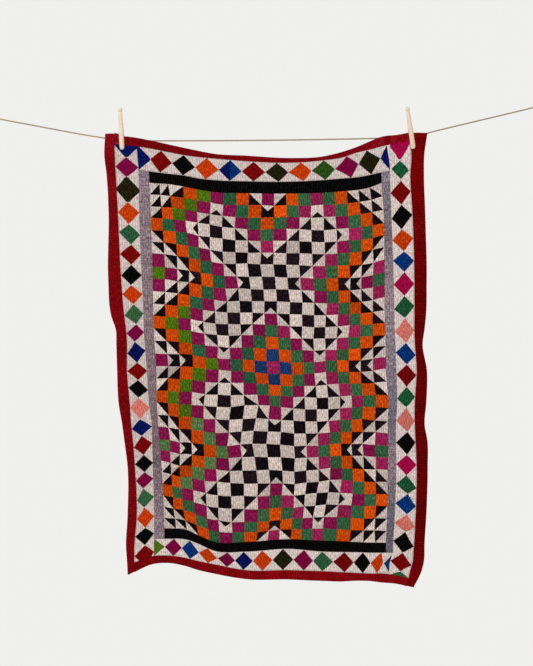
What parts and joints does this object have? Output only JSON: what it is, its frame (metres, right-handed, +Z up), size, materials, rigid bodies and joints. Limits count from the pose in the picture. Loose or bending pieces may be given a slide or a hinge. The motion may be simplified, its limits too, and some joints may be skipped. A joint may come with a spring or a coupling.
{
  "type": "ralli quilt pegged on a clothesline",
  "caption": "Pieced patchwork ralli quilt with diamond borders and red binding, hung by wooden dolly pegs on a taut line between wall eyes.",
  "frame": {"origin": "middle of the back face of the left wall eye, on the wall", "axes": "+Z up, -Y out of the wall towards the viewer, +X along the wall towards the right wall eye"},
  "size_m": [1.498, 0.0608, 1.2708],
  "materials": {
    "patchwork_cotton": "hand-quilted printed and dyed cotton patchwork",
    "lilac_cotton": "worn lilac-grey cotton",
    "black_cotton": "matt black cotton",
    "diamond_cotton": "off-white cotton with coloured diamonds",
    "red_cotton": "deep red cotton binding, ribbed by its stitching",
    "peg_beech": "pale unvarnished turned beech",
    "line_hemp": "twisted natural hemp cord",
    "eye_steel": "plain zinc-plated steel"
  },
  "bodies": {
    "root": {"centre_panel": "patchwork_cotton", "black_strip_top": "black_cotton", "black_strip_bottom": "black_cotton", "lilac_strip_left": "lilac_cotton", "lilac_strip_right": "lilac_cotton", "diamond_border_top": "diamond_cotton", "diamond_border_bottom": "diamond_cotton", "diamond_border_left": "diamond_cotton", "diamond_border_right": "diamond_cotton", "binding_top": "red_cotton", "binding_bottom": "red_cotton", "binding_left": "red_cotton", "binding_right": "red_cotton", "peg_left": "peg_beech", "peg_right": "peg_beech", "clothesline": "line_hemp", "line_knot_left": "line_hemp", "line_knot_right": "line_hemp", "wall_eye_left": "eye_steel", "wall_eye_right": "eye_steel"}
  },
  "joints": []
}
